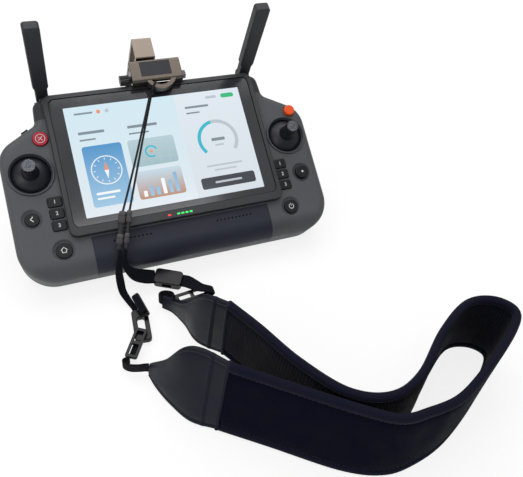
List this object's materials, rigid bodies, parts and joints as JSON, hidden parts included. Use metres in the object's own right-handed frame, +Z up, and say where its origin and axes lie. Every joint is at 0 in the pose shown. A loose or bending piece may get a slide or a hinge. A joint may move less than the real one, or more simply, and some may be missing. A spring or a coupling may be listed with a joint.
{
  "type": "radio transmitter controller",
  "caption": "Handheld radio transmitter controller: tilted touch display, twin sticks, folding antennas, rear handle, lanyard bracket and padded neck strap.",
  "frame": {"origin": "middle of the footprint, on the table under the controller and its strap", "axes": "+Z up from the table, +Y from the controller's lower edge to its top edge, +X to the right as seen by its user"},
  "size_m": [0.34, 0.4128, 0.1797],
  "materials": {
    "casing": "matt, fine texture",
    "trim": "matt",
    "cap": "satin",
    "glass": "gloss",
    "display": "lit",
    "key": "satin",
    "red": "satin",
    "orange": "satin",
    "lamp_red": "lit",
    "lamp_green": "lit",
    "metal": "machined",
    "steel": "satin",
    "bracket": "anodised",
    "slate": "satin",
    "board": "matt",
    "battery": "matt",
    "pad": "woven",
    "leather": "grained",
    "webbing": "woven",
    "buckle": "satin",
    "cord": "braided",
    "connector": "satin"
  },
  "bodies": {
    "controller": {"lower_front_panel": "trim", "corner_caps": "cap", "antenna_pins": "steel", "display_panel": "display", "cover_glass": "glass", "screen_frame": "trim", "status_light": "lamp_red", "battery_lights": "lamp_green", "stick_rings": "casing", "gimbal_bases": "cap", "circuit_boards": "board", "battery": "battery", "rear_handle": "casing", "front_shell": "casing", "rear_shell": "casing", "bracket_clamp": "bracket", "fixing_screws": "steel", "bracket_arm": "bracket", "bracket_head": "bracket", "head_inlay": "slate", "pivot_fittings": "steel", "cord_near": "cord", "cord_far": "cord", "cord_fittings": "connector", "bracket_foot": "bracket", "neck_pad": "pad", "strap_end_near": "leather", "strap_end_far": "leather", "webbing_near": "webbing", "webbing_far": "webbing", "strap_buckles": "buckle", "strap_sliders": "buckle"},
    "antenna_left": {"antenna_left": "cap"},
    "antenna_right": {"antenna_right": "cap"},
    "gimbal_yoke_left": {"gimbal_yoke_left": "cap"},
    "gimbal_yoke_right": {"gimbal_yoke_right": "cap"},
    "stick_left": {"stick_left": "metal", "stick_dome_left": "trim"},
    "stick_right": {"stick_right": "metal", "stick_dome_right": "trim"},
    "stop_button": {"stop_button": "red"},
    "pause_button": {"pause_button": "orange"},
    "back_button": {"back_button": "key"},
    "five_way_button": {"five_way_button": "key"},
    "home_button": {"home_button": "key"},
    "power_button": {"power_button": "key"},
    "dial_left": {"dial_left": "key"},
    "dial_right": {"dial_right": "key"},
    "shutter_button": {"shutter_button": "key"},
    "record_button": {"record_button": "red"},
    "mode_switch": {"mode_switch": "key"},
    "rear_cover": {"rear_cover": "trim"},
    "cover_latch": {"cover_latch": "key"},
    "thumb_screw": {"thumb_screw": "steel"},
    "key_left_1": {"key_left_1": "key"},
    "key_left_2": {"key_left_2": "key"},
    "key_left_3": {"key_left_3": "key"},
    "key_right_1": {"key_right_1": "key"},
    "key_right_2": {"key_right_2": "key"},
    "key_right_3": {"key_right_3": "key"}
  },
  "joints": [
    {"name": "antenna_left_fold", "type": "hinge", "parent": "controller", "child": "antenna_left", "pos_m": [-0.12704, 0.14413, 0.09768], "axis": [1, 0, 0], "range_deg": [-165, 0]},
    {"name": "gimbal_left_roll", "type": "hinge", "parent": "controller", "child": "gimbal_yoke_left", "pos_m": [-0.14784, 0.08672, 0.05992], "axis": [0, 0.866, 0.5], "range_deg": [-20, 20], "stiffness_Nm_per_rad": 0.08},
    {"name": "stick_left_pitch", "type": "hinge", "parent": "gimbal_yoke_left", "child": "stick_left", "pos_m": [-0.14784, 0.08672, 0.05992], "axis": [1, 0, 0], "range_deg": [-20, 20], "stiffness_Nm_per_rad": 0.08},
    {"name": "dial_left_turn", "type": "hinge", "parent": "controller", "child": "dial_left", "pos_m": [-0.16006, 0.11527, 0.06023], "axis": [0, -0.5, 0.866], "range_deg": [-30, 30], "stiffness_Nm_per_rad": 0.01},
    {"name": "antenna_right_fold", "type": "hinge", "parent": "controller", "child": "antenna_right", "pos_m": [0.05096, 0.14413, 0.09768], "axis": [1, 0, 0], "range_deg": [-165, 0]},
    {"name": "gimbal_right_roll", "type": "hinge", "parent": "controller", "child": "gimbal_yoke_right", "pos_m": [0.07176, 0.08672, 0.05992], "axis": [0, 0.866, 0.5], "range_deg": [-20, 20], "stiffness_Nm_per_rad": 0.08},
    {"name": "stick_right_pitch", "type": "hinge", "parent": "gimbal_yoke_right", "child": "stick_right", "pos_m": [0.07176, 0.08672, 0.05992], "axis": [1, 0, 0], "range_deg": [-20, 20], "stiffness_Nm_per_rad": 0.08},
    {"name": "dial_right_turn", "type": "hinge", "parent": "controller", "child": "dial_right", "pos_m": [0.08398, 0.11527, 0.06023], "axis": [0, -0.5, 0.866], "range_deg": [-30, 30], "stiffness_Nm_per_rad": 0.01},
    {"name": "stop_button_press", "type": "slide", "parent": "controller", "child": "stop_button", "axis": [0, 0.5, -0.866], "range_m": [0, 0.0008], "stiffness_N_per_m": 1000},
    {"name": "pause_button_press", "type": "slide", "parent": "controller", "child": "pause_button", "axis": [0, 0.5, -0.866], "range_m": [0, 0.0008], "stiffness_N_per_m": 1000},
    {"name": "back_button_press", "type": "slide", "parent": "controller", "child": "back_button", "axis": [0, 0.5, -0.866], "range_m": [0, 0.0008], "stiffness_N_per_m": 1000},
    {"name": "five_way_button_press", "type": "slide", "parent": "controller", "child": "five_way_button", "axis": [0, 0.5, -0.866], "range_m": [0, 0.0008], "stiffness_N_per_m": 1000},
    {"name": "home_button_press", "type": "slide", "parent": "controller", "child": "home_button", "axis": [0, 0.5, -0.866], "range_m": [0, 0.0008], "stiffness_N_per_m": 1000},
    {"name": "power_button_press", "type": "slide", "parent": "controller", "child": "power_button", "axis": [0, 0.5, -0.866], "range_m": [0, 0.0008], "stiffness_N_per_m": 1000},
    {"name": "key_left_1_press", "type": "slide", "parent": "controller", "child": "key_left_1", "axis": [0, 0.5, -0.866], "range_m": [0, 0.0008], "stiffness_N_per_m": 1000},
    {"name": "key_left_2_press", "type": "slide", "parent": "controller", "child": "key_left_2", "axis": [0, 0.5, -0.866], "range_m": [0, 0.0008], "stiffness_N_per_m": 1000},
    {"name": "key_left_3_press", "type": "slide", "parent": "controller", "child": "key_left_3", "axis": [0, 0.5, -0.866], "range_m": [0, 0.0008], "stiffness_N_per_m": 1000},
    {"name": "key_right_1_press", "type": "slide", "parent": "controller", "child": "key_right_1", "axis": [0, 0.5, -0.866], "range_m": [0, 0.0008], "stiffness_N_per_m": 1000},
    {"name": "key_right_2_press", "type": "slide", "parent": "controller", "child": "key_right_2", "axis": [0, 0.5, -0.866], "range_m": [0, 0.0008], "stiffness_N_per_m": 1000},
    {"name": "key_right_3_press", "type": "slide", "parent": "controller", "child": "key_right_3", "axis": [0, 0.5, -0.866], "range_m": [0, 0.0008], "stiffness_N_per_m": 1000},
    {"name": "shutter_button_press", "type": "slide", "parent": "controller", "child": "shutter_button", "axis": [-0.4947, -0.7526, -0.4345], "range_m": [0, 0.001], "stiffness_N_per_m": 1000},
    {"name": "record_button_press", "type": "slide", "parent": "controller", "child": "record_button", "axis": [0.4947, -0.7526, -0.4345], "range_m": [0, 0.001], "stiffness_N_per_m": 1000},
    {"name": "mode_switch_slide", "type": "slide", "parent": "controller", "child": "mode_switch", "axis": [-0.8691, -0.4284, -0.2473], "range_m": [-0.0025, 0.0025]},
    {"name": "rear_cover_slide", "type": "slide", "parent": "controller", "child": "rear_cover", "axis": [0, -0.866, -0.5], "range_m": [0, 0.012]},
    {"name": "cover_latch_slide", "type": "slide", "parent": "controller", "child": "cover_latch", "axis": [0, 0.866, 0.5], "range_m": [0, 0.002], "stiffness_N_per_m": 500},
    {"name": "thumb_screw_turn", "type": "hinge", "parent": "controller", "child": "thumb_screw", "pos_m": [-0.03804, 0.13314, 0.11212], "axis": [1, 0, 0], "continuous": true}
  ]
}
